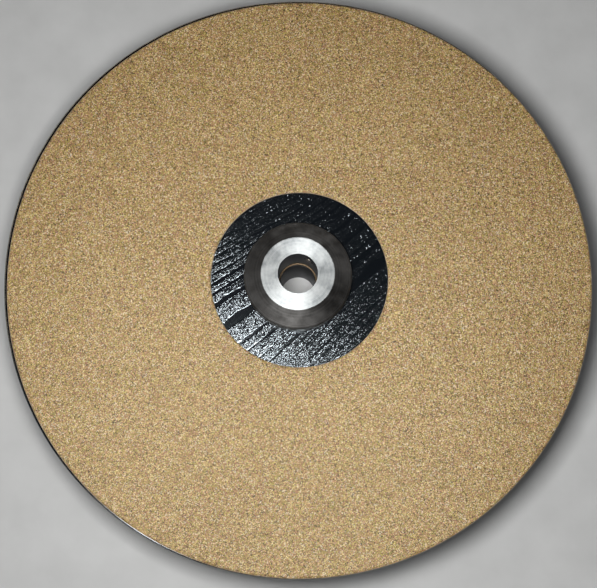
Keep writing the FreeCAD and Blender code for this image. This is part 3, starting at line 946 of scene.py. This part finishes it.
def drill(piece_mesh, place, direction, radius, length):
    """Cut a round hole through a mesh; returns the cut mesh."""
    body = bpy.data.objects.new("to_drill", piece_mesh)
    build = bmesh.new()
    turn = direction.to_track_quat("Z", "Y").to_matrix().to_4x4()
    bmesh.ops.create_cone(build, cap_ends=True, segments=48, radius1=radius,
                          radius2=radius, depth=length,
                          matrix=Matrix.Translation(place) @ turn)
    drill_mesh = bpy.data.meshes.new("drill")
    build.to_mesh(drill_mesh)
    build.free()
    cutter = bpy.data.objects.new("drill", drill_mesh)
    for item in (body, cutter):
        bpy.context.scene.collection.objects.link(item)
    change = body.modifiers.new("hole", "BOOLEAN")
    change.operation = "DIFFERENCE"
    change.object = cutter
    change.solver = "EXACT"
    view = bpy.context.evaluated_depsgraph_get()
    done = bpy.data.meshes.new_from_object(body.evaluated_get(view))
    bpy.data.objects.remove(body)
    bpy.data.objects.remove(cutter)
    return done


def make_hub(cone, face, bore, thread):
    """Turned hub with its rear thread, keyway and the grub screw's hole."""
    turn = angles(HUB_STEPS)
    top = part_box("tab_washer")[1].z
    rings = []
    finishes = []
    for radius, z, finish in hub_profile():
        around = np.full_like(turn, radius) if radius is not None else thread_radius(z, turn)
        outside = radius is None or radius > SEAT_RADIUS + 0.5 * MM
        if outside:
            around = with_keyway(around, z, turn, top)
        rings.append(polar(around, turn, z))
        finishes.append(finish)
    mesh = rings_mesh("hub_turning", rings, finishes)
    for material in (cone, face, bore, thread):
        mesh.materials.append(material)
    screw_low, screw_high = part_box("grub_screw")
    middle = (screw_low + screw_high) / 2
    outward = Vector((middle.x, middle.y, 0)).normalized()
    place = Vector((0, 0, middle.z)) + outward * GRUB_HOLE_MIDDLE
    mesh = drill(mesh, place, outward, GRUB_HOLE_RADIUS, GRUB_HOLE_LENGTH)
    mesh.name = "hub_turning"
    return piece(mesh, [], ["hub_body"], sharp=28)


def make_sleeve(material):
    """Ground sleeve with bevelled ends."""
    low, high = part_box("spindle_sleeve")
    outer = (high.x - low.x) / 2
    bevel = 0.55 * MM
    profile = [
        (outer, low.z + 0.3 * MM),
        (outer - 0.3 * MM, low.z),
        (SPINDLE_BORE_RADIUS + bevel, low.z),
        (SPINDLE_BORE_RADIUS, low.z + bevel),
        (SPINDLE_BORE_RADIUS, high.z),
        (outer, high.z),
    ]
    mesh = turned_mesh("sleeve_turning", softened(profile, 0.08 * MM))
    return piece(mesh, [material], ["spindle_sleeve"])


def make_stop_ring(material):
    """Bronze ring whose front edge shows as a yellow line in the bore."""
    low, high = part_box("bore_stop_ring")
    outer = (high.x - low.x) / 2
    profile = [
        (outer, low.z),
        (SPINDLE_BORE_RADIUS, low.z),
        (SPINDLE_BORE_RADIUS, high.z),
        (outer, high.z),
    ]
    mesh = turned_mesh("stop_ring_turning", softened(profile, 0.30 * MM))
    return piece(mesh, [material], ["bore_stop_ring"])


def capped(mesh):
    """Close the open ends of a turned skin and face it outwards."""
    build = bmesh.new()
    build.from_mesh(mesh)
    ends = [edge for edge in build.edges if edge.is_boundary]
    bmesh.ops.holes_fill(build, edges=ends, sides=0)
    bmesh.ops.recalc_face_normals(build, faces=build.faces)
    build.to_mesh(mesh)
    build.free()
    return mesh


def make_grub_tip(material):
    """Soft tip of the grub screw: a domed end, a collar and a stem with play."""
    low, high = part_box("grub_screw_tip")
    middle = (low + high) / 2
    outward = Vector((middle.x, middle.y, 0)).normalized()
    turn = angles(TIP_STEPS)
    rings = [polar(radius * MM, turn, place * MM) for place, radius in TIP_PROFILE]
    mesh = capped(rings_mesh("tip_turning", rings, closed=False))
    upright = outward.to_track_quat("Z", "Y").to_matrix().to_4x4()
    mesh.transform(Matrix.Translation((0, 0, middle.z)) @ upright)
    return piece(mesh, [material], ["grub_screw_tip"], "grub_tip", sharp=40)


# ---------------------------------------------------------------- rear clamp

def make_nut(material):
    """Hexagon nut: chamfered corners and a helical thread inside."""
    low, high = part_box("clamp_nut")
    half_flats = (high.y - low.y) / 2
    corner = half_flats / math.cos(math.pi / 6)
    turn = angles(EDGE_STEPS)
    sector = (turn + math.pi / 6) % (math.pi / 3) - math.pi / 6
    flat_radius = half_flats / np.cos(math.pi / 6 - np.abs(sector))
    edge = corner - 0.35 * MM
    hexagon = np.minimum(flat_radius, edge)
    face = half_flats - 0.6 * MM
    shares = (0.0, 0.25, 0.5, 0.75, 1.0)
    chamfer = [(share, low.z + NUT_CHAMFER * share) for share in shares]
    chamfer += [(share, high.z - NUT_CHAMFER * share) for share in reversed(shares)]
    rings = []
    for share, level in chamfer:
        cap = face + share * (corner - face)
        rings.append(polar(np.minimum(hexagon, cap), turn, level))
    mouth = NUT_BORE_RADIUS + 0.7 * MM
    rings.append(polar(mouth, turn, high.z))
    level = high.z - 0.5 * MM
    while level > low.z + 0.5 * MM:
        groove = 0.45 * MM * thread_tooth(level, turn)
        rings.append(polar(NUT_BORE_RADIUS + groove, turn, level))
        level -= THREAD_PITCH / THREAD_SLICES
    rings.append(polar(mouth, turn, low.z))
    mesh = rings_mesh("nut_turning", rings)
    return piece(mesh, [material], ["clamp_nut"], "nut", sharp=24)


def make_tab_washer(material):
    """Stamped lock washer: ears outside, one tab inside."""
    low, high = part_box("tab_washer")
    turn = angles(EDGE_STEPS)
    outer = np.full_like(turn, WASHER_RADIUS)
    for ear in range(WASHER_EARS):
        middle = math.pi / 2 + TURN * ear / WASHER_EARS
        apart = angle_from(middle, turn)
        wide = np.abs(np.sin(apart)) * WASHER_RADIUS < EAR_HALF
        wide &= np.abs(apart) < 0.5
        reach = EAR_REACH / np.maximum(np.cos(apart), 0.2)
        outer = np.where(wide, np.maximum(outer, reach), outer)
    apart = angle_from(KEYWAY_SIDE, turn)
    tab = (np.abs(np.sin(apart)) * WASHER_BORE < TAB_HALF) & (np.abs(apart) < 0.5)
    inner = np.where(tab, TAB_REACH / np.maximum(np.cos(apart), 0.2), WASHER_BORE)
    soft = 0.22 * MM
    rings = [
        polar(outer - soft, turn, low.z),
        polar(outer - 0.3 * soft, turn, low.z + 0.3 * soft),
        polar(outer, turn, low.z + soft),
        polar(outer, turn, high.z - 0.1 * MM),
        polar(outer - 0.1 * MM, turn, high.z),
        polar(inner + 0.1 * MM, turn, high.z),
        polar(inner, turn, high.z - 0.1 * MM),
        polar(inner, turn, low.z + soft),
        polar(inner + soft, turn, low.z),
    ]
    mesh = rings_mesh("washer_stamping", rings)
    return piece(mesh, [material], ["tab_washer"], "lock_washer")


# ---------------------------------------------------------------- stage

def make_camera():
    """Almost straight down, leaning towards the lower edge of the disc."""
    place = Vector(CAMERA_PLACE) * MM
    aim = Vector(CAMERA_AIM) * MM
    data = bpy.data.cameras.new("camera")
    data.sensor_width = CAMERA_SENSOR
    data.lens = CAMERA_LENS
    data.clip_start = 0.01
    camera = bpy.data.objects.new("camera", data)
    camera.location = place
    camera.rotation_euler = (aim - place).to_track_quat("-Z", "Y").to_euler()
    bpy.context.scene.collection.objects.link(camera)
    bpy.context.scene.camera = camera


def area_light(name, place, aim, size, power):
    """Square light at a place, turned towards its aim."""
    data = bpy.data.lights.new(name, "AREA")
    data.size = size
    data.energy = power
    light = bpy.data.objects.new(name, data)
    light.location = place
    direction = Vector(aim) - Vector(place)
    light.rotation_euler = direction.to_track_quat("-Z", "Y").to_euler()
    bpy.context.scene.collection.objects.link(light)


def make_stage():
    """Pale floor, a soft key light near the camera and weak light from the sides."""
    build = bmesh.new()
    half = FLOOR_HALF
    corners = [(-half, -half, 0), (half, -half, 0), (half, half, 0), (-half, half, 0)]
    build.faces.new([build.verts.new(corner) for corner in corners])
    mesh = bpy.data.meshes.new("floor")
    build.to_mesh(mesh)
    build.free()
    mesh.materials.append(floor_material())
    floor = bpy.data.objects.new("floor", mesh)
    bpy.context.scene.collection.objects.link(floor)
    world = bpy.data.worlds.new("studio")
    bpy.context.scene.world = world
    world.use_nodes = True
    back = world.node_tree.nodes["Background"]
    back.inputs[0].default_value = SKY_COLOUR
    back.inputs[1].default_value = SKY_STRENGTH
    for light in SOFT_LIGHTS:
        area_light(*light)
    for index in range(EDGE_LIGHTS):
        direction = -math.pi / 2 + index * TURN / EDGE_LIGHTS
        x = EDGE_LIGHT_DISTANCE * math.cos(direction)
        y = EDGE_LIGHT_DISTANCE * math.sin(direction)
        place = (x, y, EDGE_LIGHT_HEIGHT)
        name = "edge_light_%d" % (index + 1)
        area_light(name, place, (0, 0, 0.02), EDGE_LIGHT_SIZE, EDGE_LIGHT_POWER)
    bpy.context.scene.view_settings.view_transform = "Standard"


def finish_node(name, material):
    """Give a CAD node that stays as it is its finished material."""
    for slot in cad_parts[name].material_slots:
        slot.material = material


def make_object():
    """Every piece of the disc, from the paper to the rear clamp and the side screw."""
    make_grain_coat(grit_material())
    make_backing(paper_material())
    make_glue_line(glue_material())
    make_front_veneer(painted_wood("black_front_veneer"))
    make_rear_veneer(painted_wood("black_rear_veneer"))
    long_edge = ply_edge_material("black_long_edge", True)
    end_edge = ply_edge_material("black_end_edge", False)
    for index, node in enumerate(INNER_PLIES):
        make_inner_ply(node, index + 1, end_edge if index % 2 == 0 else long_edge)
    make_hub(*hub_materials())
    dark = dark_steel()
    make_sleeve(dark)
    make_stop_ring(shaded_bronze())
    zinc = plated_metal("zinc_plate", (0.50, 0.51, 0.52), (0.72, 0.73, 0.74), 0.34)
    black = plated_metal("black_oxide", (0.035, 0.035, 0.038), (0.085, 0.085, 0.09), 0.38)
    make_nut(black)
    make_tab_washer(zinc)
    finish_node("rear_flange", zinc)
    finish_node("flange_screws", zinc)
    finish_node("drive_pins", dark)
    finish_node("grub_screw", black)
    make_grub_tip(worn_bronze())


make_stage()
make_camera()
make_object()
